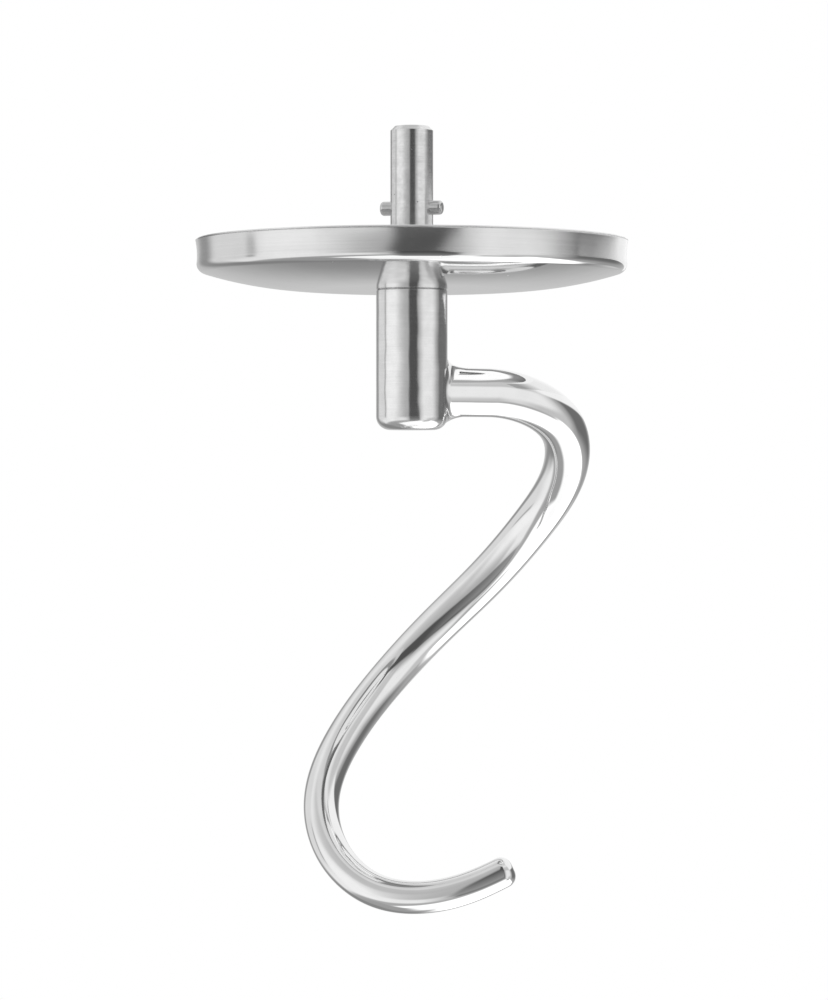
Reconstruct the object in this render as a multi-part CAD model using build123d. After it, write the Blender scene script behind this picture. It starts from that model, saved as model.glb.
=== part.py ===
from build123d import *
from math import asin, cos, degrees, radians, sin
import os

# A spiral dough hook: drive shaft with cross pin, dished guard plate, hub and tapered spiral hook.
# Millimetres. Z is the shaft axis, up is towards the mixer. The origin is on the axis at the lower end of the
# drive journal, just above the cross pin. X points to the side where the hook leaves the hub, Y to the back.

# Fits
press_gap = 0.01
plate_hole_clearance = 0.1

# Drive shaft
shaft_diameter = 12.0
journal_length = 19.5
shaft_end_chamfer = 1.2
shoulder_width = 1.0
spigot_end_chamfer = 0.8
bore_bottom_space = 1.0

# Cross pin
pin_diameter = 4.0
pin_length = 18.0
pin_end_round = 0.9
pin_azimuth = -18.0
pin_relief_depth = 0.2
pin_relief_margin = 0.2

# Guard plate
plate_diameter = 120.4
sheet_thickness = 1.5
rim_top = -11.0
rim_height = 7.0
rim_waist = 0.1
rim_flare = 0.4
rim_edge_round = 0.6
dish_depth = 7.1
dish_flat_diameter = 54.0
dish_knuckle_radius = 2.6

# Hub
hub_diameter = 20.0
hub_height = 39.2
hub_bottom_round = 3.8
hub_top_chamfer = 0.3
bore_wall = 2.49

# Hook
arm_azimuth = 26.0
arm_diameter = 13.8
arm_reach = 23.6
arm_spigot_diameter = 10.0
arm_spigot_depth = 6.0
tip_diameter = 8.6
tip_round = 3.2
weld_leg = 2.2

# Middle line of the hook beyond the straight arm: turn about the axis, distance from it, drop below the arm
hook_stations = (
    (26.3, 37.1, 2.3),
    (31.0, 50.3, 9.8),
    (38.6, 57.1, 19.6),
    (54.5, 62.3, 36.3),
    (68.1, 60.6, 52.4),
    (82.5, 57.1, 67.3),
    (97.7, 52.5, 82.7),
    (115.7, 44.7, 99.0),
    (132.6, 38.3, 116.5),
    (141.1, 28.1, 131.4),
    (137.5, 13.7, 140.6),
    (30.8, 7.7, 141.6),
    (7.7, 19.2, 137.9),
    (5.3, 28.5, 133.5),
)

# Sizes and heights that follow from those above: the arm meets the hub's straight wall just above the bottom
# round, and the shaft's bore stops a wall above the arm's bore
spigot_diameter = shaft_diameter - 2 * shoulder_width
arm_bore_radius = arm_spigot_diameter / 2 + press_gap
pin_height = -(pin_diameter / 2 + pin_relief_margin)
relief_height = pin_diameter + 2 * pin_relief_margin
rim_bottom = rim_top - rim_height
hub_top = rim_bottom - dish_depth
shoulder_height = hub_top + sheet_thickness
arm_height = hub_top - hub_height + hub_bottom_round + arm_diameter / 2
bore_bottom = arm_height + arm_bore_radius + bore_wall
spigot_bottom = bore_bottom + bore_bottom_space


def polar(azimuth, distance, height):
    """Point at a turn about the shaft axis, a distance from it and a height."""
    return Vector(distance * cos(radians(azimuth)), distance * sin(radians(azimuth)), height)


def radial_rod(azimuth, height, diameter, inner, outer):
    """Round bar lying along a radius, from one distance to another."""
    start = Plane(origin=polar(azimuth, inner, height), z_dir=polar(azimuth, 1, 0))
    return extrude(start * Circle(diameter / 2), outer - inner)


def make_drive_shaft():
    """Turned shaft: journal, relieved stretch for the pin, body, and the spigot that enters the hub."""
    top = journal_length + shaft_end_chamfer
    body = shaft_diameter / 2
    relief = body - pin_relief_depth
    spigot = spigot_diameter / 2
    outline = Polyline(
        (0, top),
        (body - shaft_end_chamfer, top),
        (body, journal_length),
        (body, 0),
        (relief, 0),
        (relief, -relief_height),
        (body, -relief_height),
        (body, shoulder_height),
        (spigot, shoulder_height),
        (spigot, spigot_bottom + spigot_end_chamfer),
        (spigot - spigot_end_chamfer, spigot_bottom),
        (0, spigot_bottom),
        close=True,
    )
    shaft = revolve(Plane.XZ * make_face(outline), Axis.Z)
    pin_hole = radial_rod(pin_azimuth, pin_height, pin_diameter + 2 * press_gap, -pin_length, pin_length)
    return shaft - pin_hole


def make_cross_pin():
    """Pin with rounded ends, standing out on both sides of the shaft."""
    pin = radial_rod(pin_azimuth, pin_height, pin_diameter, -pin_length / 2, pin_length / 2)
    return fillet(pin.edges().filter_by(GeomType.CIRCLE), pin_end_round)


def make_guard_plate():
    """Spun dish: flat seat on the hub, curved floor, rolled corner and an upright rim with a slight waist."""
    rim = plate_diameter / 2
    flat = dish_flat_diameter / 2
    hole = spigot_diameter / 2 + plate_hole_clearance
    knuckle = dish_knuckle_radius
    # The floor's arc rises from the edge of the flat and runs tangent into the rolled corner
    run = rim - knuckle - flat
    floor = (run**2 + dish_depth**2 - knuckle**2) / (2 * (dish_depth - knuckle))
    floor_angle = degrees(asin(run / (floor - knuckle)))

    def skin(inset):
        """Edges of the underside, or of the top side when moved in by the sheet's thickness."""
        seat = Line((hole, hub_top + inset), (flat, hub_top + inset))
        bowl = JernArc(seat @ 1, (1, 0), floor - inset, floor_angle)
        corner = JernArc(bowl @ 1, bowl % 1, knuckle - inset, 90 - floor_angle)
        wall = ThreePointArc(
            corner @ 1,
            (rim - rim_waist - inset, rim_bottom + rim_height / 2),
            (rim + rim_flare - inset, rim_top),
        )
        return [seat, bowl, corner, wall]

    under = skin(0)
    top = skin(sheet_thickness)
    hole_edge = Line(under[0] @ 0, top[0] @ 0)
    rim_edge = Line(under[-1] @ 1, top[-1] @ 1)
    plate = revolve(Plane.XZ * make_face(under + top + [hole_edge, rim_edge]), Axis.Z)
    return fillet(plate.edges().group_by(Axis.Z)[-1], rim_edge_round)


def plain_hub():
    """Outside of the hub before its bores are made."""
    hub = Pos(0, 0, hub_top) * Cylinder(
        hub_diameter / 2, hub_height, align=(Align.CENTER, Align.CENTER, Align.MAX)
    )
    return fillet(hub.edges().group_by(Axis.Z)[0], hub_bottom_round)


def make_hub():
    """Boss with a blind bore for the shaft and a blind cross bore for the hook."""
    hub = plain_hub()
    hub = chamfer(hub.edges().group_by(Axis.Z)[-1], hub_top_chamfer)
    bore = Pos(0, 0, hub_top) * Cylinder(
        spigot_diameter / 2 + press_gap, hub_top - bore_bottom, align=(Align.CENTER, Align.CENTER, Align.MAX)
    )
    floor = hub_diameter / 2 - arm_spigot_depth - bore_bottom_space
    cross_bore = radial_rod(arm_azimuth, arm_height, 2 * arm_bore_radius, floor, hub_diameter)
    return hub - bore - cross_bore


def make_arm(inner, outer):
    """Straight round stretch of the hook next to the hub."""
    return radial_rod(arm_azimuth, arm_height, arm_diameter, inner, outer)


def hook_line():
    """Middle line of the hook from the end of the straight arm to the tip."""
    points = [polar(arm_azimuth, arm_reach, arm_height)]
    for azimuth, distance, drop in hook_stations:
        points.append(polar(azimuth, distance, arm_height - drop))
    along_arm = polar(arm_azimuth, 1, 0)
    along_tail = points[-1] - points[-2]
    return Spline(points, tangents=[along_arm, along_tail], tangent_scalars=[1, 1])


def make_hook():
    """Straight arm with a spigot for the hub, then a bar that tapers along the spiral to a rounded tip."""
    line = hook_line()
    thick = Plane(origin=line @ 0, z_dir=line % 0) * Circle(arm_diameter / 2)
    thin = Plane(origin=line @ 1, z_dir=line % 1) * Circle(tip_diameter / 2)
    spiral = sweep([thick, thin], path=line, multisection=True)
    tip_face = spiral.faces().sort_by_distance(line @ 1)[0]
    spiral = fillet(tip_face.edges(), tip_round)
    hub_space = Pos(0, 0, hub_top) * Cylinder(
        hub_diameter / 2 + press_gap, hub_height, align=(Align.CENTER, Align.CENTER, Align.MAX)
    )
    arm = make_arm(hub_diameter / 4, arm_reach) - hub_space
    spigot_end = hub_diameter / 2 - arm_spigot_depth
    spigot = radial_rod(arm_azimuth, arm_height, arm_spigot_diameter, spigot_end, arm_reach)
    return arm + spigot + spiral


def make_hook_weld():
    """Weld metal that fills the corner between the hub and the arm all round."""
    hub = plain_hub()
    arm = make_arm(hub_diameter / 4, arm_reach)
    joined = hub + arm
    seam = [edge for edge in joined.edges() if edge.geom_type not in (GeomType.CIRCLE, GeomType.LINE)]
    return chamfer(seam, weld_leg) - hub - arm


pieces = {
    "drive_shaft": make_drive_shaft(),
    "cross_pin": make_cross_pin(),
    "guard_plate": make_guard_plate(),
    "hub": make_hub(),
    "hook": make_hook(),
    "hook_weld": make_hook_weld(),
}

os.makedirs("parts", exist_ok=True)
for name, piece in pieces.items():
    export_step(piece, f"parts/{name}.step")
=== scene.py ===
"""Looks of a spiral dough hook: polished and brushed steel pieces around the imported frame, in metres."""
import cmath
import logging
import math
from abc import ABC, abstractmethod
from collections.abc import Iterable, Sequence
from dataclasses import dataclass, field
from enum import Enum
from typing import ClassVar

import bmesh
import bpy
import numpy as np
from mathutils import Matrix, Vector


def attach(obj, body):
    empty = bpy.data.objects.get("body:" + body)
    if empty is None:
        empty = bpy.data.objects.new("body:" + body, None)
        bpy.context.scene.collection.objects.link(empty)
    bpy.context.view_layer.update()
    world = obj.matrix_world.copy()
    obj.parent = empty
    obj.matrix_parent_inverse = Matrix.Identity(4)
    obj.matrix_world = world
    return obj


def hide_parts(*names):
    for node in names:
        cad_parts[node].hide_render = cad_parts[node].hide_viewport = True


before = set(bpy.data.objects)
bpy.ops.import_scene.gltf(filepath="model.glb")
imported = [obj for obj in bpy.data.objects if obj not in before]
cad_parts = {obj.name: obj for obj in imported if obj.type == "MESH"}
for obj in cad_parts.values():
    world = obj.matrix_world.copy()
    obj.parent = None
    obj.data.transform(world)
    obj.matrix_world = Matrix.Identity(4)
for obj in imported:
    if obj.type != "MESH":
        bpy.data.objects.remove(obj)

LOG = logging.getLogger("dough_hook")
BODY = "root"
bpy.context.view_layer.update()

MM = 0.001
ON_AXIS = 1e-6
QUARTER_TURN = math.pi / 2.0
FULL_TURN = 2.0 * math.pi
LEVEL = (1.0, 1.0, 0.0)
WHITE = (1.0, 1.0, 1.0, 1.0)

Point = tuple[float, float]
Corner = tuple[float, float, float]
Mesh = bpy.types.Mesh
Socket = bpy.types.NodeSocket
Sockets = bpy.types.bpy_prop_collection
Edge = tuple[Socket, float, float, float]


class Lay(Enum):
    """Way in which the fine marks of a finish run."""

    AROUND = "around the shaft axis"
    ROD = "along the bar"
    EVEN = "no direction"


class Facing(Enum):
    """What part of the plate a face belongs to."""

    UNDERSIDE = 0
    RIM = 1
    TOP = 2


@dataclass
class NodeBoard:
    """Adds nodes to one node tree and links them."""

    tree: bpy.types.NodeTree

    def add(self, kind: str, inputs: dict | None = None, **settings: object) -> bpy.types.Node:
        """Add a node.

        Args:
            kind: Blender's identifier of the node.
            inputs: values or sockets for its inputs, by name or index.
            settings: properties of the node.

        Returns:
            The new node.
        """
        node = self.tree.nodes.new(kind)
        for name, value in settings.items():
            setattr(node, name, value)
        for key, value in (inputs or {}).items():
            self.feed(node.inputs[key], value)
        return node

    def out(self, kind: str, inputs: dict | None = None, **settings: object) -> Socket:
        """Add a node and give its first output."""
        return self.add(kind, inputs, **settings).outputs[0]

    def feed(self, socket: Socket, value: object) -> None:
        """Link a socket to an input, or set the input's value.

        Args:
            socket: input to feed.
            value: an output socket, or a plain value.
        """
        if isinstance(value, Socket):
            self.tree.links.new(value, socket)
        else:
            socket.default_value = value

    def math(self, operation: str, *values: object, clamp: bool = False) -> Socket:
        """Work out one number from numbers or sockets, kept between 0 and 1 if clamped."""
        return self.out("ShaderNodeMath", dict(enumerate(values)), operation=operation, use_clamp=clamp)

    def vector(self, operation: str, *values: object) -> Socket:
        """Work out a vector from vectors or sockets."""
        return self.out("ShaderNodeVectorMath", dict(enumerate(values)), operation=operation)

    def measure(self, operation: str, *values: object) -> Socket:
        """Work out one number from vectors or sockets."""
        return self.add("ShaderNodeVectorMath", dict(enumerate(values)), operation=operation).outputs["Value"]

    def scaled(self, vector: Socket, amount: object) -> Socket:
        """Multiply a vector by a number or socket."""
        return self.out("ShaderNodeVectorMath", {0: vector, "Scale": amount}, operation="SCALE")

    def noise(self, vector: Socket, scale: float, detail: float, roughness: float = 0.5) -> Socket:
        """Value of a noise texture."""
        inputs = {"Vector": vector, "Scale": scale, "Detail": detail, "Roughness": roughness}
        return self.out("ShaderNodeTexNoise", inputs)

    def spread(self, value: Socket, low: object, high: object, start: object = 0.3, end: object = 0.7) -> Socket:
        """Map a value, such as a texture's, from start and end to low and high, clamped."""
        inputs = {"Value": value, "From Min": start, "From Max": end, "To Min": low, "To Max": high}
        return self.out("ShaderNodeMapRange", inputs)

    def vary(self, value: Socket, middle: float, swing: float) -> Socket:
        """Map a texture's value to a range about a middle."""
        return self.spread(value, middle - swing, middle + swing)

    def soft_mask(self, edges: Iterable[Edge]) -> Socket:
        """Share of a patch with soft edges.

        Args:
            edges: for each edge the measured socket, where it lies, how wide it fades and which way is in.

        Returns:
            Socket that is 1 inside the patch and falls to 0 across its edges.
        """
        share = None
        for value, place, soft, sense in edges:
            fade = sense * soft / 2.0
            inputs = {"Value": value, "From Min": place - fade, "From Max": place + fade}
            step = self.out("ShaderNodeMapRange", inputs, interpolation_type="SMOOTHSTEP")
            share = step if share is None else self.math("MULTIPLY", share, step)
        return share

    def place(self) -> Socket:
        """Object coordinates of a material."""
        return self.add("ShaderNodeTexCoord").outputs["Object"]

    def glow(self, strength: object) -> Socket:
        """White light of a given strength."""
        return self.out("ShaderNodeEmission", {"Color": WHITE, "Strength": strength})

    def surface(self, shader: Socket) -> None:
        """Make a shader the surface of a material."""
        self.feed(self.tree.nodes["Material Output"].inputs["Surface"], shader)

    def store(self, geometry: Socket, name: str, value: Socket, kind: str = "FLOAT") -> Socket:
        """Keep a value with each point of a geometry."""
        inputs = {"Geometry": geometry, "Name": name, "Value": value}
        return self.out("GeometryNodeStoreNamedAttribute", inputs, data_type=kind, domain="POINT")

    def stored(self, name: str) -> Socket:
        """Read a number kept with each point."""
        return self.out("GeometryNodeInputNamedAttribute", {"Name": name}, data_type="FLOAT")


def new_material(name: str) -> tuple[bpy.types.Material, NodeBoard]:
    """Start a material.

    Args:
        name: name of the material.

    Returns:
        The material and the board of its node tree.
    """
    material = bpy.data.materials.new(name)
    material.use_nodes = True
    return material, NodeBoard(material.node_tree)


@dataclass(frozen=True)
class SteelFinish:
    """Procedural steel: base grey, gloss, fine marks, waviness, pits and stains. Millimetres."""

    name: str
    grey: float
    grey_spread: float
    roughness: float
    roughness_spread: float
    lay: Lay
    anisotropy: float = 0.0
    around_turn: float = 0.25
    rod_radius: float = 6.0
    mark_pitch: float = 0.15
    mark_length: float = 40.0
    mark_depth: float = 0.0
    mark_detail: float = 5.0
    mark_grain: float = 0.65
    wave_pitch: float = 6.0
    wave_depth: float = 0.0
    wave_detail: float = 1.0
    pit_pitch: float = 1.4
    pit_size: float = 0.0
    pit_grey: float = 0.0
    pit_gloss: float = 0.25
    pit_chance: float = 0.6
    pit_sharpness: float = 12.0
    stain: float = 0.03
    stain_gloss: float = 0.15
    stain_pitch: float = 9.0
    stain_detail: float = 4.0
    stain_grain: float = 0.6

    def material(self) -> bpy.types.Material:
        """Build the material.

        Returns:
            The new material.
        """
        material, board = new_material(self.name)
        sockets = material.node_tree.nodes["Principled BSDF"].inputs
        sockets["Metallic"].default_value = 1.0
        sockets["Anisotropic"].default_value = self.anisotropy
        place = board.place()
        marks = self.marks(board, place)
        stain = board.noise(place, 1.0 / (self.stain_pitch * MM), self.stain_detail, self.stain_grain)
        grey = board.vary(marks, self.grey, self.grey_spread)
        grey = board.math("MULTIPLY", grey, board.vary(stain, 1.0, self.stain))
        gloss = board.vary(marks, self.roughness, self.roughness_spread)
        gloss = board.math("MULTIPLY", gloss, board.vary(stain, 1.0, -self.stain_gloss))
        if self.pit_size > 0.0:
            pits = self.pits(board, place)
            grey = board.math("MULTIPLY_ADD", pits, self.pit_grey, grey)
            gloss = board.math("MULTIPLY_ADD", pits, self.pit_gloss, gloss)
        board.feed(sockets["Base Color"], board.out("ShaderNodeCombineColor", {0: grey, 1: grey, 2: grey}))
        board.feed(sockets["Roughness"], gloss)
        self.bumps(board, sockets["Normal"], place, marks)
        if self.lay is Lay.AROUND:
            board.feed(sockets["Tangent"], board.out("ShaderNodeTangent", direction_type="RADIAL", axis="Z"))
            sockets["Anisotropic Rotation"].default_value = self.around_turn
        return material

    def marks(self, board: NodeBoard, place: Socket) -> Socket:
        """Fine marks stretched along the finish's lay.

        Args:
            board: tree to build in.
            place: object coordinates.

        Returns:
            Socket with the marks' texture value.
        """
        fine = 1.0 / (self.mark_pitch * MM)
        long = 1.0 / (self.mark_length * MM)
        if self.lay is Lay.ROD:
            ring = board.add("ShaderNodeAttribute", attribute_name="ring").outputs["Vector"]
            along = board.add("ShaderNodeAttribute", attribute_name="along").outputs["Fac"]
            reach = board.out("ShaderNodeCombineXYZ", {"Z": board.math("MULTIPLY", along, long)})
            vector = board.vector("ADD", board.scaled(ring, self.rod_radius * MM * fine), reach)
        else:
            level = long if self.lay is Lay.AROUND else fine
            vector = board.out("ShaderNodeMapping", {"Vector": place, "Scale": (level, level, fine)})
        return board.noise(vector, 1.0, self.mark_detail, self.mark_grain)

    def pits(self, board: NodeBoard, place: Socket) -> Socket:
        """Sparse round specks.

        Args:
            board: tree to build in.
            place: object coordinates.

        Returns:
            Socket that is 1 inside a speck and 0 elsewhere.
        """
        cells = board.add("ShaderNodeTexVoronoi", {"Vector": place, "Scale": 1.0 / (self.pit_pitch * MM)}).outputs
        chance = board.out("ShaderNodeSeparateColor", {0: cells["Color"]})
        size = board.spread(chance, 0.0, 1.0, self.pit_chance, 1.0)
        size = board.math("MULTIPLY", size, self.pit_size / self.pit_pitch)
        edge = board.math("SUBTRACT", size, cells["Distance"])
        return board.math("MULTIPLY", edge, self.pit_sharpness, clamp=True)

    def bumps(self, board: NodeBoard, target: Socket, place: Socket, marks: Socket) -> None:
        """Marks over waviness in the surface normal.

        Args:
            board: tree to build in.
            target: normal input of the shader.
            place: object coordinates.
            marks: texture value of the fine marks.
        """
        layers = [(marks, self.mark_depth)] if self.mark_depth > 0.0 else []
        if self.wave_depth > 0.0:
            wave = board.noise(place, 1.0 / (self.wave_pitch * MM), self.wave_detail)
            layers.append((wave, self.wave_depth))
        for height, depth in layers:
            bump = board.add("ShaderNodeBump", {"Height": height, "Strength": 1.0, "Distance": depth * MM})
            board.feed(target, bump.outputs[0])
            target = bump.inputs["Normal"]


SHAFT_STEEL = SteelFinish(
    "turned_shaft_steel", 0.68, 0.05, 0.19, 0.035, Lay.AROUND, anisotropy=0.95, mark_pitch=0.12, mark_length=9.0,
    mark_depth=0.0006, wave_pitch=2.5, wave_depth=0.006, pit_pitch=1.6, pit_size=0.3, pit_grey=-0.2, stain=0.08,
    stain_pitch=2.2,
)
PIN_STEEL = SteelFinish(
    "ground_pin_steel", 0.58, 0.06, 0.16, 0.05, Lay.EVEN, mark_pitch=0.2, mark_depth=0.0008, stain=0.08,
    stain_pitch=1.5,
)
RIM_STEEL = SteelFinish(
    "brushed_rim_steel", 0.72, 0.035, 0.205, 0.025, Lay.AROUND, anisotropy=0.95, mark_pitch=0.22, mark_length=60.0,
    mark_depth=0.0012, stain=0.02,
)
UNDERSIDE_STEEL = SteelFinish(
    "polished_underside_steel", 0.7, 0.01, 0.06, 0.02, Lay.EVEN, mark_pitch=0.5, pit_pitch=2.6, pit_size=0.34,
    pit_grey=0.25, pit_gloss=0.5, wave_pitch=9.0, wave_depth=0.004,
)
TOP_STEEL = SteelFinish(
    "satin_dish_steel", 0.64, 0.02, 0.26, 0.04, Lay.EVEN, mark_pitch=0.4, mark_depth=0.0008,
)
HUB_STEEL = SteelFinish(
    "polished_hub_steel", 0.74, 0.03, 0.12, 0.045, Lay.AROUND, anisotropy=0.5, mark_pitch=0.3, mark_length=12.0,
    mark_depth=0.0006, wave_pitch=10.0, wave_depth=0.3, stain=0.05, stain_pitch=4.0,
)
HOOK_STEEL = SteelFinish(
    "mirror_hook_steel", 0.77, 0.01, 0.04, 0.012, Lay.ROD, mark_pitch=0.5, mark_length=25.0, mark_depth=0.0002,
    wave_pitch=10.0, wave_depth=0.06,
)
WELD_STEEL = SteelFinish(
    "dressed_weld_steel", 0.75, 0.015, 0.06, 0.02, Lay.EVEN, mark_pitch=0.6, mark_depth=0.0002, wave_pitch=3.0,
    wave_depth=0.006, stain_pitch=2.0,
)


def rounded_outline(corners: Sequence[Corner], steps: int = 6, support: float = 0.06) -> list[Point]:
    """Run of points in which each corner is a small arc.

    Args:
        corners: radius, height and corner radius of each corner, in millimetres.
        steps: pieces of each arc.
        support: distance of an extra point on each straight, next to an arc.

    Returns:
        Radius and height of each point.
    """
    points: list[Point] = []
    for index, (radius, height, rounding) in enumerate(corners):
        here = np.array((radius, height))
        if index in (0, len(corners) - 1) or rounding <= 0.0:
            points.append((radius, height))
            continue
        before = here - np.array(corners[index - 1][:2])
        after = np.array(corners[index + 1][:2]) - here
        ahead = before / np.linalg.norm(before)
        onward = after / np.linalg.norm(after)
        turn = math.acos(float(np.clip(ahead @ onward, -1.0, 1.0)))
        side = onward - ahead * float(ahead @ onward)
        side /= np.linalg.norm(side)
        cut = rounding * math.tan(turn / 2.0)
        start = here - ahead * cut
        points.append(tuple(start - ahead * support))
        for step in range(steps + 1):
            angle = turn * step / steps
            place = start + ahead * rounding * math.sin(angle) + side * rounding * (1.0 - math.cos(angle))
            points.append(tuple(place))
        points.append(tuple(here + onward * (cut + support)))
    return points


def arc_points(centre: Point, radius: float, start: float, end: float, steps: int) -> list[Point]:
    """Points along an arc, both ends included, from one angle to another in radians."""
    angles = np.linspace(start, end, steps + 1)
    return [(centre[0] + radius * math.cos(a), centre[1] + radius * math.sin(a)) for a in angles]


def arc_through(first: Point, middle: Point, last: Point, steps: int) -> list[Point]:
    """Points along the arc through three points.

    Args:
        first: start of the arc.
        middle: point that the arc passes.
        last: end of the arc.
        steps: pieces of the arc.

    Returns:
        Radius and height of each point, both ends included.
    """
    a, b, c = (complex(*point) for point in (first, middle, last))
    ratio = (c - a) / (b - a)
    centre = (b - a) * (ratio - abs(ratio) ** 2) / (2j * ratio.imag) + a
    start, _, end = np.unwrap([cmath.phase(point - centre) for point in (a, b, c)])
    return arc_points((centre.real, centre.imag), abs(a - centre), start, end, steps)


def mesh_from(shape: bmesh.types.BMesh, name: str) -> Mesh:
    """Make a mesh of a shape, which is freed.

    Args:
        shape: the finished shape.
        name: name of the mesh.

    Returns:
        The new mesh.
    """
    mesh = bpy.data.meshes.new(name)
    shape.to_mesh(mesh)
    shape.free()
    return mesh


@dataclass
class Lathe:
    """Turns an outline about the Z axis into a mesh with a UV map."""

    name: str
    segments: int
    closed: bool = False

    def mesh(self, outline: Sequence[Point], bands: Sequence[int] | None = None) -> Mesh:
        """Build the mesh.

        Args:
            outline: radius and height of each point, in millimetres.
            bands: material index of the faces that start at each point, or none for 0.

        Returns:
            The new mesh.
        """
        points = list(outline)
        runs = len(points) if self.closed else len(points) - 1
        angles = np.linspace(0.0, FULL_TURN, self.segments, endpoint=False)
        shape = bmesh.new()
        uv = shape.loops.layers.uv.new("UVMap")
        rings: list[list[bmesh.types.BMVert]] = []
        for radius, height in points:
            turns = angles[:1] if radius < ON_AXIS else angles
            wide = radius * MM
            rings.append([shape.verts.new((wide * math.cos(a), wide * math.sin(a), height * MM)) for a in turns])
        reach = [0.0]
        for index in range(runs):
            reach.append(reach[-1] + math.dist(points[index], points[(index + 1) % len(points)]) * MM)
        for index in range(runs):
            low, high = rings[index], rings[(index + 1) % len(points)]
            for step in range(self.segments):
                follow = (step + 1) % self.segments
                corners = [(low, step, step, index), (low, follow, step + 1, index),
                           (high, follow, step + 1, index + 1), (high, step, step, index + 1)]
                if len(low) == 1:
                    corners = [(low, 0, step, index)] + corners[2:]
                elif len(high) == 1:
                    corners = corners[:2] + [(high, 0, step, index + 1)]
                face = shape.faces.new([ring[at] for ring, at, _, _ in corners])
                face.smooth = True
                face.material_index = bands[index] if bands else 0
                for loop, (_, _, column, row) in zip(face.loops, corners):
                    loop[uv].uv = (column / self.segments, reach[row])
        bmesh.ops.recalc_face_normals(shape, faces=shape.faces)
        return mesh_from(shape, self.name)


def put_object(name: str, data: bpy.types.ID, materials: Iterable[bpy.types.Material] = ()) -> bpy.types.Object:
    """Put a mesh, curve, camera or lamp into the scene.

    Args:
        name: name of the object.
        data: what it shows, in place.
        materials: its materials, in order.

    Returns:
        The new object, at the origin.
    """
    thing = bpy.data.objects.new(name, data)
    bpy.context.scene.collection.objects.link(thing)
    for material in materials:
        data.materials.append(material)
    return thing


class Piece(ABC):
    """Piece of the tool, which makes its own mesh and stands for one CAD node."""

    name: ClassVar[str]
    node: ClassVar[str]
    slot: ClassVar[str]
    finishes: tuple[SteelFinish, ...] = ()

    @abstractmethod
    def mesh(self) -> Mesh:
        """Make the piece's mesh, in place."""

    def build(self) -> bpy.types.Object:
        """Make the piece, dress it, tie it to the frame and report it.

        Returns:
            The new object.
        """
        piece = put_object(self.name, self.mesh(), [finish.material() for finish in self.finishes])
        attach(piece, BODY)
        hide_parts(self.node)
        LOG.info("%s: %d vertices, stands for %s", piece.name, len(piece.data.vertices), self.node)
        return piece


@dataclass
class DriveShaft(Piece):
    """Turned shaft with a chamfered top and a spigot that enters the hub. Millimetres."""

    name, node, slot = "shaft", "drive_shaft", "turned_steel"
    radius: float = 6.0
    top: float = 20.7
    chamfer: float = 1.2
    shoulder: float = -23.6
    spigot_radius: float = 5.0
    spigot_bottom: float = -45.1
    spigot_chamfer: float = 0.8
    edge: float = 0.12
    segments: int = 192
    finishes: tuple[SteelFinish, ...] = (SHAFT_STEEL,)

    def mesh(self) -> Mesh:
        """Turn the shaft.

        Returns:
            The shaft's mesh.
        """
        corners = [
            (0.0, self.top, 0.0),
            (self.radius - self.chamfer, self.top, self.edge),
            (self.radius, self.top - self.chamfer, self.edge),
            (self.radius, self.shoulder, self.edge),
            (self.spigot_radius, self.shoulder, 0.0),
            (self.spigot_radius, self.spigot_bottom + self.spigot_chamfer, self.edge),
            (self.spigot_radius - self.spigot_chamfer, self.spigot_bottom, self.edge),
            (0.0, self.spigot_bottom, 0.0),
        ]
        return Lathe(self.name, self.segments).mesh(rounded_outline(corners))


@dataclass
class CrossPin(Piece):
    """Round pin through the shaft. Millimetres and degrees."""

    name, node, slot = "pin", "cross_pin", "pin_steel"
    radius: float = 2.0
    length: float = 18.0
    end_round: float = 0.9
    height: float = -2.2
    azimuth: float = -18.0
    segments: int = 96
    round_steps: int = 10
    finishes: tuple[SteelFinish, ...] = (PIN_STEEL,)

    def mesh(self) -> Mesh:
        """Turn the pin and lay it across the shaft.

        Returns:
            The pin's mesh.
        """
        half = self.length / 2.0
        corners = [
            (0.0, half, 0.0),
            (self.radius, half, self.end_round),
            (self.radius, -half, self.end_round),
            (0.0, -half, 0.0),
        ]
        mesh = Lathe(self.name, self.segments).mesh(rounded_outline(corners, self.round_steps))
        lay_down = Matrix.Rotation(QUARTER_TURN, 4, "Y")
        turn = Matrix.Rotation(math.radians(self.azimuth), 4, "Z")
        mesh.transform(Matrix.Translation((0.0, 0.0, self.height * MM)) @ turn @ lay_down)
        return mesh


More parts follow.
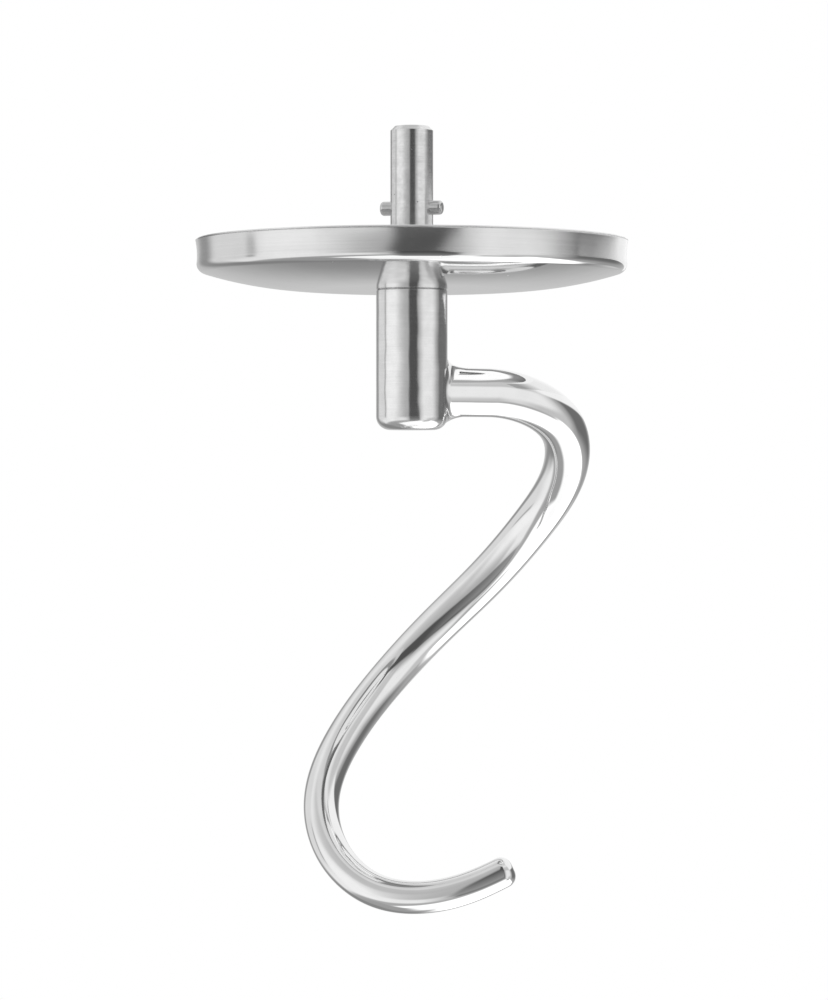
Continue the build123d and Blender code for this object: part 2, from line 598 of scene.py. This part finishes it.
@dataclass
class GuardPlate(Piece):
    """Spun dish with an upright rim. Millimetres."""

    name, node, slot = "plate", "guard_plate", "plate_steel"
    hole_radius: float = 5.1
    hole_edge: float = 0.05
    seat: float = -25.1
    flat_radius: float = 27.0
    rim_radius: float = 60.2
    rim_top: float = -11.0
    rim_height: float = 7.0
    depth: float = 7.1
    knuckle: float = 2.6
    waist: float = 0.1
    flare: float = 0.4
    edge_round: float = 0.6
    edge_support: float = 0.03
    thickness: float = 1.5
    segments: int = 512
    flat_points: int = 12
    floor_steps: int = 40
    corner_steps: int = 14
    wall_steps: int = 16
    edge_steps: int = 8
    finishes: tuple[SteelFinish, ...] = (UNDERSIDE_STEEL, RIM_STEEL, TOP_STEEL)

    def skin(self, inset: float) -> list[list[Point]]:
        """Runs of the underside, or of the top side when moved in by the sheet's thickness.

        Args:
            inset: distance moved in from the underside.

        Returns:
            Points of the seat, the curved floor, the rolled corner and the wall.
        """
        run = self.rim_radius - self.knuckle - self.flat_radius
        bowl = (run**2 + self.depth**2 - self.knuckle**2) / (2.0 * (self.depth - self.knuckle))
        angle = math.asin(run / (bowl - self.knuckle))
        low = self.seat + inset
        down = -QUARTER_TURN
        bend = (self.rim_radius - self.knuckle, self.rim_top - self.rim_height)
        flat = [(radius, low) for radius in np.linspace(self.hole_radius, self.flat_radius, self.flat_points)]
        floor = arc_points((self.flat_radius, self.seat + bowl), bowl - inset, down, down + angle, self.floor_steps)
        corner = arc_points(bend, self.knuckle - inset, down + angle, 0.0, self.corner_steps)
        middle = (self.rim_radius - self.waist - inset, self.rim_top - self.rim_height / 2.0)
        end = (self.rim_radius + self.flare - inset, self.rim_top)
        return [flat, floor, corner, arc_through(corner[-1], middle, end, self.wall_steps)]

    def mesh(self) -> Mesh:
        """Spin the plate, with bands for its underside, rim and top.

        Returns:
            The plate's mesh.
        """
        under, top = self.skin(0.0), self.skin(self.thickness)
        outer = under[0] + [point for run in under[1:] for point in run[1:]]
        outer.pop()
        inner = [point for run in reversed(top) for point in run[-2::-1]]
        wall, lining, rounding = under[-1], top[-1], self.edge_round
        lip = [(*wall[-2], 0.0), (*wall[-1], rounding), (*lining[-1], rounding), (*lining[-2], 0.0)]
        edge = rounded_outline(lip, self.edge_steps, self.edge_support)[1:-1]
        hole_ends = (self.seat + self.thickness - self.hole_edge, self.seat + self.hole_edge)
        outline = outer + edge + inner + [(self.hole_radius, height) for height in hole_ends]
        # The faces that start at the corner's last point belong to the rim
        polished = len(under[0]) + len(under[1]) - 1 + len(under[2]) - 2
        bands = [Facing.UNDERSIDE.value] * polished
        bands += [Facing.RIM.value] * (len(outer) + len(edge) - polished)
        bands += [Facing.TOP.value] * (len(outline) - len(bands))
        return Lathe(self.name, self.segments, closed=True).mesh(outline, bands)


@dataclass
class Hub(Piece):
    """Plain boss with a blind bore for the shaft. Millimetres."""

    name, node, slot = "hub_boss", "hub", "hub_steel"
    radius: float = 10.0
    top: float = -25.1
    height: float = 39.2
    bottom_round: float = 3.8
    top_chamfer: float = 0.3
    top_edge: float = 0.08
    bore_radius: float = 5.01
    bore_bottom: float = -46.1
    bore_round: float = 0.2
    bore_edge: float = 0.1
    segments: int = 256
    round_steps: int = 24
    round_support: float = 0.05
    finishes: tuple[SteelFinish, ...] = (HUB_STEEL,)

    def mesh(self) -> Mesh:
        """Turn the hub.

        Returns:
            The hub's mesh.
        """
        bottom = self.top - self.height
        corners = [
            (0.0, self.bore_bottom, 0.0),
            (self.bore_radius, self.bore_bottom, self.bore_round),
            (self.bore_radius, self.top, self.bore_edge),
            (self.radius - self.top_chamfer, self.top, self.top_edge),
            (self.radius, self.top - self.top_chamfer, self.top_edge),
            (self.radius, bottom, self.bottom_round),
            (0.0, bottom, 0.0),
        ]
        outline = rounded_outline(corners, self.round_steps, self.round_support)
        return Lathe(self.name, self.segments).mesh(outline)

    def wall_radius(self, height: float) -> float:
        """Radius of the hub at a height, with its bottom round."""
        drop = min(max(self.top - self.height + self.bottom_round - height, 0.0), self.bottom_round)
        return self.radius - self.bottom_round + math.sqrt(self.bottom_round**2 - drop**2)


@dataclass
class Hook(Piece):
    """Tapered bar along the spiral, from the hub to a rounded tip. Millimetres and degrees."""

    name, node, slot = "hook_bar", "hook", "hook_steel"
    azimuth: float = 26.0
    height: float = -53.6
    arm_radius: float = 6.9
    arm_reach: float = 23.6
    arm_start: float = 7.0
    root_length: float = 8.0
    tip_radius: float = 4.3
    tip_round: float = 3.2
    hub_radius: float = 10.01
    line_steps: int = 64
    rings: int = 740
    tip_rings: int = 14
    sides: int = 128
    stations: tuple[Corner, ...] = (
        (26.3, 37.1, 2.3),
        (31.0, 50.3, 9.8),
        (38.6, 57.1, 19.6),
        (54.5, 62.3, 36.3),
        (68.1, 60.6, 52.4),
        (82.5, 57.1, 67.3),
        (97.7, 52.5, 82.7),
        (115.7, 44.7, 99.0),
        (132.6, 38.3, 116.5),
        (141.1, 28.1, 131.4),
        (137.5, 13.7, 140.6),
        (30.8, 7.7, 141.6),
        (7.7, 19.2, 137.9),
        (5.3, 28.5, 133.5),
    )
    finish: SteelFinish = HOOK_STEEL

    def place(self, azimuth: float, distance: float, drop: float) -> np.ndarray:
        """Point at a turn about the axis, a distance from it and a drop below the arm, in metres."""
        turn = math.radians(azimuth)
        return np.array((distance * math.cos(turn), distance * math.sin(turn), self.height - drop)) * MM

    def middle_line(self) -> bpy.types.Object:
        """Smooth curve through the stations, which leaves the hub straight along the arm.

        Returns:
            A curve object of one Bezier spline.
        """
        bends = [self.place(*station) for station in self.stations]
        points = np.array([self.place(self.azimuth, self.arm_reach, 0.0), *bends])
        spans = np.linalg.norm(np.diff(points, axis=0), axis=1)
        outward = self.place(self.azimuth, 1.0, 0.0) - self.place(self.azimuth, 0.0, 0.0)
        outward /= np.linalg.norm(outward)
        tail = (points[-1] - points[-2]) / spans[-1]
        root = self.place(self.azimuth, self.arm_start, 0.0)
        knots = np.vstack([root, points])
        tangents = np.vstack([outward, self.slopes(points, spans, outward, tail)])
        lengths = np.concatenate([[np.linalg.norm(points[0] - root)], spans])
        curve = bpy.data.curves.new("hook_line", "CURVE")
        curve.dimensions = "3D"
        spline = curve.splines.new("BEZIER")
        spline.resolution_u = self.line_steps
        spline.bezier_points.add(len(knots) - 1)
        for index, knot in enumerate(spline.bezier_points):
            back = lengths[max(index - 1, 0)] / 3.0
            ahead = lengths[min(index, len(lengths) - 1)] / 3.0
            knot.co = knots[index]
            knot.handle_left_type = knot.handle_right_type = "FREE"
            knot.handle_left = knots[index] - tangents[index] * back
            knot.handle_right = knots[index] + tangents[index] * ahead
        return put_object("hook_line", curve)

    @staticmethod
    def slopes(points: np.ndarray, spans: np.ndarray, first: np.ndarray, last: np.ndarray) -> np.ndarray:
        """Directions at the stations that make the line bend evenly.

        Args:
            points: stations.
            spans: distances between neighbours.
            first: direction at the first station.
            last: direction at the last station.

        Returns:
            One direction for each station.
        """
        count = len(points)
        system = np.eye(count)
        sides = np.zeros((count, 3))
        sides[0], sides[-1] = first, last
        for i in range(1, count - 1):
            before, after = 1.0 / spans[i - 1], 1.0 / spans[i]
            system[i, i - 1:i + 2] = (before, 2.0 * (before + after), after)
            sides[i] = 3.0 * ((points[i] - points[i - 1]) * before**2 + (points[i + 1] - points[i]) * after**2)
        return np.linalg.solve(system, sides)

    def settings(self) -> dict[str, tuple[str, object]]:
        """Inputs of the geometry nodes.

        Returns:
            Kind and value of each input, by name, in metres.
        """
        turn = math.radians(self.azimuth)
        return {
            "Rings": ("Int", self.rings),
            "Tip Rings": ("Int", self.tip_rings),
            "Sides": ("Int", self.sides),
            "Arm Radius": ("Float", self.arm_radius * MM),
            "Tip Radius": ("Float", self.tip_radius * MM),
            "Tip Round": ("Float", self.tip_round * MM),
            "Straight Length": ("Float", (self.arm_reach - self.arm_start) * MM),
            "Root Length": ("Float", self.root_length * MM),
            "Hub Radius": ("Float", self.hub_radius * MM),
            "Arm Direction": ("Vector", (math.cos(turn), math.sin(turn), 0.0)),
            "Material": ("Material", self.finish.material()),
        }

    def tree(self, settings: dict[str, tuple[str, object]]) -> bpy.types.NodeTree:
        """Geometry nodes that turn a line into a tapered bar with a rounded tip and a root shaped to the hub.

        Args:
            settings: kind and value of each input, by name.

        Returns:
            The node tree.
        """
        tree = bpy.data.node_groups.new("tapered_bar", "GeometryNodeTree")
        tree.interface.new_socket("Line", in_out="INPUT", socket_type="NodeSocketGeometry")
        for name, (kind, _) in settings.items():
            tree.interface.new_socket(name, in_out="INPUT", socket_type=f"NodeSocket{kind}")
        tree.interface.new_socket("Bar", in_out="OUTPUT", socket_type="NodeSocketGeometry")
        board = NodeBoard(tree)
        given = board.add("NodeGroupInput").outputs
        rail = self.rail(board, given)
        circle = board.out("GeometryNodeCurvePrimitiveCircle", {"Resolution": given["Sides"], "Radius": 1.0})
        circle = board.store(circle, "ring", board.out("GeometryNodeInputPosition"), "FLOAT_VECTOR")
        sweep = {"Curve": rail, "Profile Curve": circle, "Scale": board.stored("thick"), "Fill Caps": True}
        bar = board.out("GeometryNodeCurveToMesh", sweep)
        bar = self.shape_root(board, bar, given)
        bar = board.out("GeometryNodeSetShadeSmooth", {"Geometry": bar, "Shade Smooth": True})
        bar = board.out("GeometryNodeRealizeInstances", {"Geometry": bar})
        bar = board.out("GeometryNodeSetMaterial", {"Geometry": bar, "Material": given["Material"]})
        board.add("NodeGroupOutput", {0: bar})
        return tree

    @staticmethod
    def rail(board: NodeBoard, given: Sockets) -> Socket:
        """Line with a point for each ring of the bar, which keeps the ring's place and radius.

        Args:
            board: tree to build in.
            given: the tree's inputs.

        Returns:
            The line's socket.
        """
        index = board.out("GeometryNodeInputIndex")
        length = board.out("GeometryNodeCurveLength", {"Curve": given["Line"]})
        last = board.math("SUBTRACT", given["Rings"], 1)
        share = board.math("DIVIDE", index, last, clamp=True)
        turn = board.math("DIVIDE", board.math("SUBTRACT", index, last), given["Tip Rings"], clamp=True)
        turn = board.math("MULTIPLY", turn, QUARTER_TURN)
        plain = board.math("SUBTRACT", length, given["Tip Round"])
        beyond = board.math("MULTIPLY", given["Tip Round"], board.math("SINE", turn))
        along = board.math("ADD", board.math("MULTIPLY", share, plain), beyond)
        thick = board.spread(along, given["Arm Radius"], given["Tip Radius"], given["Straight Length"], length)
        shrink = board.math("SUBTRACT", 1.0, board.math("COSINE", turn))
        thick = board.math("SUBTRACT", thick, board.math("MULTIPLY", given["Tip Round"], shrink))
        count = board.math("ADD", given["Rings"], given["Tip Rings"])
        dots = board.out("GeometryNodeMeshLine", {"Count": count}, mode="OFFSET")
        sample = {"Curves": given["Line"], "Length": along}
        spot = board.add("GeometryNodeSampleCurve", sample, mode="LENGTH", use_all_curves=True).outputs["Position"]
        dots = board.out("GeometryNodeSetPosition", {"Geometry": dots, "Position": spot})
        dots = board.store(dots, "along", along)
        dots = board.store(dots, "thick", thick)
        return board.out("GeometryNodeMeshToCurve", {"Mesh": dots})

    @staticmethod
    def shape_root(board: NodeBoard, bar: Socket, given: Sockets) -> Socket:
        """Move the bar's first rings out to the wall of the hub.

        Args:
            board: tree to build in.
            bar: geometry of the bar.
            given: the tree's inputs.

        Returns:
            The shaped geometry's socket.
        """
        here = board.out("GeometryNodeInputPosition")
        outward = given["Arm Direction"]
        reach = board.measure("DOT_PRODUCT", here, outward)
        level = board.vector("MULTIPLY", here, LEVEL)
        across = board.measure("LENGTH", board.vector("SUBTRACT", level, board.scaled(outward, reach)))
        squares = [board.math("POWER", side, 2.0) for side in (given["Hub Radius"], across)]
        wall = board.math("SQRT", board.math("MAXIMUM", board.math("SUBTRACT", *squares), 0.0))
        push = board.math("MAXIMUM", board.math("SUBTRACT", wall, reach), 0.0)
        near = {"A": board.stored("along"), "B": given["Root Length"]}
        root = board.out("FunctionNodeCompare", near, data_type="FLOAT", operation="LESS_THAN")
        moved = {"Geometry": bar, "Selection": root, "Offset": board.scaled(outward, push)}
        return board.out("GeometryNodeSetPosition", moved)

    def mesh(self) -> Mesh:
        """Run the geometry nodes along the line, which dress the bar too, and make the result a plain mesh.

        Returns:
            The bar's mesh.
        """
        line = self.middle_line()
        settings = self.settings()
        tree = self.tree(settings)
        modifier = line.modifiers.new("tapered_bar", "NODES")
        modifier.node_group = tree
        for item in tree.interface.items_tree:
            if item.in_out == "INPUT" and item.name in settings:
                modifier[item.identifier] = settings[item.name][1]
        bpy.context.view_layer.update()
        mesh = bpy.data.meshes.new_from_object(line.evaluated_get(bpy.context.evaluated_depsgraph_get()))
        line.modifiers.remove(modifier)
        bpy.data.objects.remove(line)
        mesh.name = self.name
        return mesh


@dataclass
class HookWeld(Piece):
    """Hollow fillet of weld metal round the root of the hook. Millimetres, legs at the top, sides and bottom."""

    name, node, slot = "root_weld", "hook_weld", "weld_steel"
    hub: Hub = field(default_factory=Hub)
    hook: Hook = field(default_factory=Hook)
    hub_legs: Corner = (4.0, 0.5, 3.0)
    arm_legs: Corner = (8.0, 1.8, 4.0)
    leg_power: int = 3
    hollow: float = 0.9
    sink: float = 0.03
    depth: float = 0.4
    hub_tuck: float = 0.1
    arm_tuck: float = 0.3
    edge_tuck: float = 0.5
    probe: float = 0.01
    around: int = 160
    steps: int = 14
    finishes: tuple[SteelFinish, ...] = (WELD_STEEL,)

    def leg(self, legs: Corner, angle: float) -> float:
        """Length of a leg at a turn about the arm, from its lengths at the top, sides and bottom."""
        end, side = legs[0] if math.sin(angle) > 0.0 else legs[2], legs[1]
        return side + (end - side) * abs(math.sin(angle)) ** self.leg_power

    def section(self, angle: float) -> list[Point]:
        """Closed section of the fillet at a turn about the arm.

        Args:
            angle: turn about the arm, in radians.

        Returns:
            Reach along the arm and distance from its axis, point by point.
        """
        radius = self.hook.arm_radius
        out = radius + self.leg(self.hub_legs, angle)

        def wall(distance: float) -> float:
            """Reach of the hub's wall along the arm, at a distance from the arm's axis."""
            across = self.hub.wall_radius(self.hook.height + distance * math.sin(angle))
            return math.sqrt(max(across**2 - (distance * math.cos(angle)) ** 2, 0.0))

        slope = (wall(out + self.probe) - wall(out - self.probe)) / (2.0 * self.probe)
        start = np.array((wall(out) - self.sink, out))
        bend = np.array((wall(out) + slope * (radius - out), radius))
        end = np.array((bend[0] + self.leg(self.arm_legs, angle), radius - self.sink))
        bend = self.hollow * bend + (1.0 - self.hollow) * (start + end) / 2.0
        share = np.linspace(0.0, 1.0, self.steps + 1)[:, None]
        face = (1.0 - share) ** 2 * start + 2.0 * share * (1.0 - share) * bend + share**2 * end
        inside, rear = radius - self.depth, out - self.edge_tuck
        back = [
            (end[0] - self.arm_tuck, inside),
            (wall(inside) - self.hub_tuck, inside),
            (wall(rear) - self.depth, rear),
        ]
        return [tuple(point) for point in face] + back

    def mesh(self) -> Mesh:
        """Sweep the section round the arm.

        Returns:
            The weld's mesh.
        """
        turn = math.radians(self.hook.azimuth)
        outward = Vector((math.cos(turn), math.sin(turn), 0.0))
        sideways = Vector((-math.sin(turn), math.cos(turn), 0.0))
        centre = Vector((0.0, 0.0, self.hook.height))
        shape = bmesh.new()
        rings: list[list[bmesh.types.BMVert]] = []
        for step in range(self.around):
            angle = FULL_TURN * step / self.around
            ring = []
            for reach, distance in self.section(angle):
                across = sideways * (distance * math.cos(angle))
                place = centre + outward * reach + across + Vector((0.0, 0.0, distance * math.sin(angle)))
                ring.append(shape.verts.new(place * MM))
            rings.append(ring)
        size = len(rings[0])
        for step in range(self.around):
            here, after = rings[step], rings[(step + 1) % self.around]
            for at in range(size):
                face = shape.faces.new((here[at], after[at], after[(at + 1) % size], here[(at + 1) % size]))
                face.smooth = at < self.steps
        bmesh.ops.recalc_face_normals(shape, faces=shape.faces)
        return mesh_from(shape, self.name)


@dataclass(frozen=True)
class Sky:
    """Sockets that tell in which direction the surroundings are seen, azimuth 0 being the camera's side."""

    azimuth: Socket
    elevation: Socket
    along: Socket
    rise: Socket


@dataclass(frozen=True)
class Panel:
    """Soft-edged stretch of the studio's surroundings, seen from the tool. Degrees."""

    name: str
    left: float
    right: float
    bottom: float
    top: float
    tone: float
    soft_sides: Point = (8.0, 8.0)
    soft_ends: Point = (8.0, 8.0)
    lean: float = 0.0
    sway: float = 0.0

    def edges(self, board: NodeBoard, sky: Sky) -> list[Edge]:
        """Edges of the panel.

        Args:
            board: the world's tree.
            sky: direction in which the surroundings are seen.

        Returns:
            For each edge the measured socket, where it lies, how wide it fades and which way is in.
        """
        half = (self.right - self.left) / 2.0
        middle = board.math("MULTIPLY_ADD", sky.elevation, self.sway, (self.left + self.right) / 2.0)
        offset = board.math("WRAP", board.math("SUBTRACT", sky.azimuth, middle), 180.0, -180.0)
        height = board.math("SUBTRACT", sky.elevation, board.math("MULTIPLY", offset, self.lean))
        return self.ends(height) + (self.sides(offset, -half, half) if half < 180.0 else [])

    def ends(self, value: Socket) -> list[Edge]:
        """Lower and upper edge, measured on a socket."""
        return [(value, self.bottom, self.soft_ends[0], 1.0), (value, self.top, self.soft_ends[1], -1.0)]

    def sides(self, value: Socket, left: float, right: float) -> list[Edge]:
        """Left and right edge, measured on a socket."""
        return [(value, left, self.soft_sides[0], 1.0), (value, right, self.soft_sides[1], -1.0)]


@dataclass(frozen=True)
class SideWall(Panel):
    """Wall that runs past the tool on its right. Lengths to the back and up, for each unit of its distance."""

    def edges(self, board: NodeBoard, sky: Sky) -> list[Edge]:
        """Edges of the wall, as those of a panel."""
        return self.ends(sky.rise) + self.sides(sky.along, self.left, self.right)


PANELS = (
    Panel("ceiling", -180, 180, 60, 120, 0.76, soft_ends=(16, 8)),
    Panel("left_wall", -142, -90, -42, 44, 0.87, (14, 14), (8, 16)),
    Panel("left_low_light", -125, -60, -42, -16, 1.04, (14, 14), (8, 22)),
    Panel("front_left_light", -88, -44, -42, 14, 1.12, (22, 30), (8, 26)),
    Panel("front_left_shade", -70, 0, 24, 58, 0.7, (36, 10), (16, 12)),
    Panel("left_post", -98, -91.5, -8, 16, 0.52, (5, 5), (10, 10)),
    Panel("front_right_base", 8, 98, -42, 40, 0.46, (8, 10), (8, 16)),
    Panel("front_right_light", 29, 81, -42, 26, 1.03, (26, 30), (8, 14)),
    Panel("front_right_shade", 20, 74, 27, 47, 0.7, (10, 12), (10, 14)),
    Panel("right_low_shade", 53, 104, -50, -10, 0.68, (14, 12), (6, 16), lean=0.5),
    Panel("right_high_light", 76, 172, 18, 66, 1.12, (20, 16), (8, 14), lean=-0.13),
    Panel("back_right_light", 150, 176, 8, 36, 1.08, (12, 12), (8, 8)),
    Panel("gap_shade", -36, 12, -40, 54, 0.54, (44, 8), (8, 8)),
    Panel("front_left_low", -58, -16, -36, -13, 1.05, (20, 26), (8, 12)),
    Panel("camera_gap", -9.5, 19, -36, 52, 0.1, (9, 8), (8, 10), sway=-0.2),
    Panel("camera_gap_low", -9.5, 19, -36, -21, 0.26, (9, 8), (8, 12), sway=-0.2),
    SideWall("right_wall", -0.05, 4.2, -0.84, 0.41, 0.48, (0.2, 2), (0.24, 0.1)),
    SideWall("right_wall_shade", 0.1, 1.7, -0.42, 0.4, 0.19, (0.25, 1.4), (0.5, 0.1)),
    Panel("left_back_wall", -165, -136, -60, 29, 0.36, (12, 14), (10, 26)),
    Panel("far_wall", 162, 204, -34, 6, 0.6, (14, 14), (10, 10)),
    Panel("table", -180, 180, -120, -38, 0.5, soft_ends=(8, 9)),
    Panel("table_left", -170, -70, -120, -46, 0.42, (14, 14), (8, 10)),
    Panel("table_back", 136, 236, -58, -23, 0.3, (20, 20), (10, 30)),
    Panel("table_front", -66, 44, -120, -49.1, 1.4, (16, 8), (8, 7), lean=0.16),
    Panel("table_middle", 40, 76, -120, -45.5, 1.4, (8, 10), (8, 6), lean=0.4),
    Panel("table_right", 72, 176, -120, -36.5, 1.85, (10, 18), (8, 7), lean=-0.05),
    Panel("table_below", -180, 180, -120, -77, 1.3, soft_ends=(8, 10)),
)


@dataclass(frozen=True)
class Card:
    """Glowing card near the tool, which only the steel sees. Metres, with a tone at each end of its rise."""

    name: str
    corners: tuple[Corner, ...]
    faces: tuple[tuple[int, ...], ...]
    axis: int
    rise: Point
    tones: Point
    edges: tuple[tuple[int, float, float], ...] = ()
    soft: float = 0.04

    def build(self) -> None:
        """Set the card up on the stage."""
        mesh = bpy.data.meshes.new(self.name)
        mesh.from_pydata(self.corners, [], self.faces)
        material, board = new_material(self.name)
        axes = board.add("ShaderNodeSeparateXYZ", {0: board.place()}).outputs
        light = board.glow(board.spread(axes[self.axis], *self.tones, *self.rise))
        if self.edges:
            share = board.soft_mask((axes[axis], place, self.soft, sense) for axis, place, sense in self.edges)
            clear = board.out("ShaderNodeBsdfTransparent")
            light = board.out("ShaderNodeMixShader", {0: share, 1: clear, 2: light})
        board.surface(light)
        card = put_object(self.name, mesh, [material])
        card.visible_camera = False
        card.visible_diffuse = False
        card.visible_shadow = False


# A pale upright card beside the plate, folded once and brighter towards the back, and a grey card between the
# tool and the camera, with soft edges and paler towards its foot
CARDS = (
    Card(
        "reflector",
        (
            (0.098, -0.03, -0.016), (0.09, 0.008, -0.016), (0.0715, 0.076, -0.03),
            (0.098, -0.03, 0.008), (0.09, 0.008, 0.008), (0.0715, 0.076, 0.008),
        ),
        ((0, 1, 4, 3), (1, 2, 5, 4)),
        axis=1, rise=(-0.015, 0.022), tones=(0.44, 1.05),
    ),
    Card(
        "front_card",
        ((-0.056, -0.25, -0.33), (0.124, -0.25, -0.33), (0.124, -0.25, -0.03), (-0.056, -0.25, -0.03)),
        ((0, 1, 2, 3),),
        axis=2, rise=(-0.3, -0.06), tones=(0.37, 0.11),
        edges=((0, -0.036, 1.0), (0, 0.104, -1.0), (2, -0.31, 1.0), (2, -0.05, -1.0)),
    ),
)


@dataclass
class Studio:
    """Pale floor, soft surroundings, a lamp and the camera. Metres."""

    camera_place: Corner = (0.000616, -1.1, -0.08393)
    lens: float = 141.43
    sensor: float = 36.0
    clip_start: float = 0.01
    room_tone: float = 0.88
    nearest_right: float = 1e-4
    floor_height: float = -0.34
    floor_radius: float = 0.8
    floor_segments: int = 128
    floor_tone: float = 0.82
    floor_roughness: float = 0.9
    fade_start: float = 0.25
    fade_end: float = 0.85
    lamp_place: Corner = (-0.35, -0.3, 0.7)
    lamp_size: float = 0.5
    lamp_power: float = 2.5
    panels: tuple[Panel, ...] = PANELS
    cards: tuple[Card, ...] = CARDS

    def build(self) -> None:
        """Set up the stage."""
        bpy.context.scene.view_settings.view_transform = "Standard"
        self.camera()
        self.world()
        self.floor()
        self.lamp()
        for card in self.cards:
            card.build()

    def camera(self) -> None:
        """Level camera in front of the tool."""
        data = bpy.data.cameras.new("camera")
        data.sensor_fit = "VERTICAL"
        data.sensor_height = self.sensor
        data.lens = self.lens
        data.clip_start = self.clip_start
        camera = put_object("camera", data)
        camera.location = self.camera_place
        camera.rotation_euler = (QUARTER_TURN, 0.0, 0.0)
        bpy.context.scene.camera = camera

    def world(self) -> None:
        """White backdrop for camera and mirrored rays, a grey one for others, and panels that the camera misses."""
        world = bpy.data.worlds.new("studio_surroundings")
        bpy.context.scene.world = world
        world.use_nodes = True
        board = NodeBoard(world.node_tree)
        direction = board.add("ShaderNodeTexCoord").outputs["Generated"]
        axes = board.add("ShaderNodeSeparateXYZ", {0: direction}).outputs
        nearer = board.math("MULTIPLY", axes[1], -1.0)
        right = board.math("MAXIMUM", axes[0], self.nearest_right)
        sky = Sky(
            azimuth=board.math("DEGREES", board.math("ARCTAN2", axes[0], nearer)),
            elevation=board.math("DEGREES", board.math("ARCSINE", axes[2])),
            along=board.math("DIVIDE", axes[1], right),
            rise=board.math("DIVIDE", axes[2], right),
        )
        rays = board.add("ShaderNodeLightPath").outputs
        sharp = board.math("MAXIMUM", rays["Is Glossy Ray"], rays["Is Transmission Ray"])
        white = board.math("MAXIMUM", rays["Is Camera Ray"], sharp)
        tone = board.spread(white, self.room_tone, 1.0, 0.0, 1.0)
        unseen = board.math("SUBTRACT", 1.0, rays["Is Camera Ray"])
        for panel in self.panels:
            share = board.math("MULTIPLY", board.soft_mask(panel.edges(board, sky)), unseen)
            mix = {"Factor": share, "A": tone, "B": panel.tone}
            tone = board.out("ShaderNodeMix", mix, data_type="FLOAT", label=panel.name)
        board.feed(world.node_tree.nodes["Background"].inputs["Color"], tone)

    def floor(self) -> None:
        """Pale floor below the tool, which fades into the white backdrop."""
        shape = bmesh.new()
        bmesh.ops.create_circle(shape, cap_ends=True, segments=self.floor_segments, radius=self.floor_radius)
        bmesh.ops.translate(shape, verts=shape.verts, vec=(0.0, 0.0, self.floor_height))
        material, board = new_material("pale_floor")
        shader = material.node_tree.nodes["Principled BSDF"]
        shader.inputs["Base Color"].default_value = (self.floor_tone,) * 3 + (1.0,)
        shader.inputs["Roughness"].default_value = self.floor_roughness
        reach = board.measure("LENGTH", board.vector("MULTIPLY", board.place(), LEVEL))
        ends = (self.fade_start * self.floor_radius, self.fade_end * self.floor_radius)
        fade = board.spread(reach, 0.0, 1.0, *ends)
        board.surface(board.out("ShaderNodeMixShader", {0: fade, 1: shader.outputs[0], 2: board.glow(1.0)}))
        floor = put_object("floor", mesh_from(shape, "floor"), [material])
        floor.visible_glossy = False

    def lamp(self) -> None:
        """Large soft lamp over the left shoulder, which gives the floor its shadow."""
        data = bpy.data.lights.new("soft_lamp", "AREA")
        data.shape = "DISK"
        data.size = self.lamp_size
        data.energy = self.lamp_power
        lamp = put_object("soft_lamp", data)
        lamp.location = self.lamp_place
        aim = Vector((0.0, 0.0, self.floor_height)) - Vector(self.lamp_place)
        lamp.rotation_euler = aim.to_track_quat("-Z", "Y").to_euler()
        lamp.visible_glossy = False


def main() -> None:
    """Build every piece and the stage, in order."""
    logging.basicConfig(level=logging.INFO, format="%(name)s: %(message)s")
    hub = Hub()
    hook = Hook()
    Studio().build()
    for piece in (DriveShaft(), CrossPin(), GuardPlate(), hub, hook, HookWeld(hub, hook)):
        piece.build()


if __name__ == "__main__":
    main()
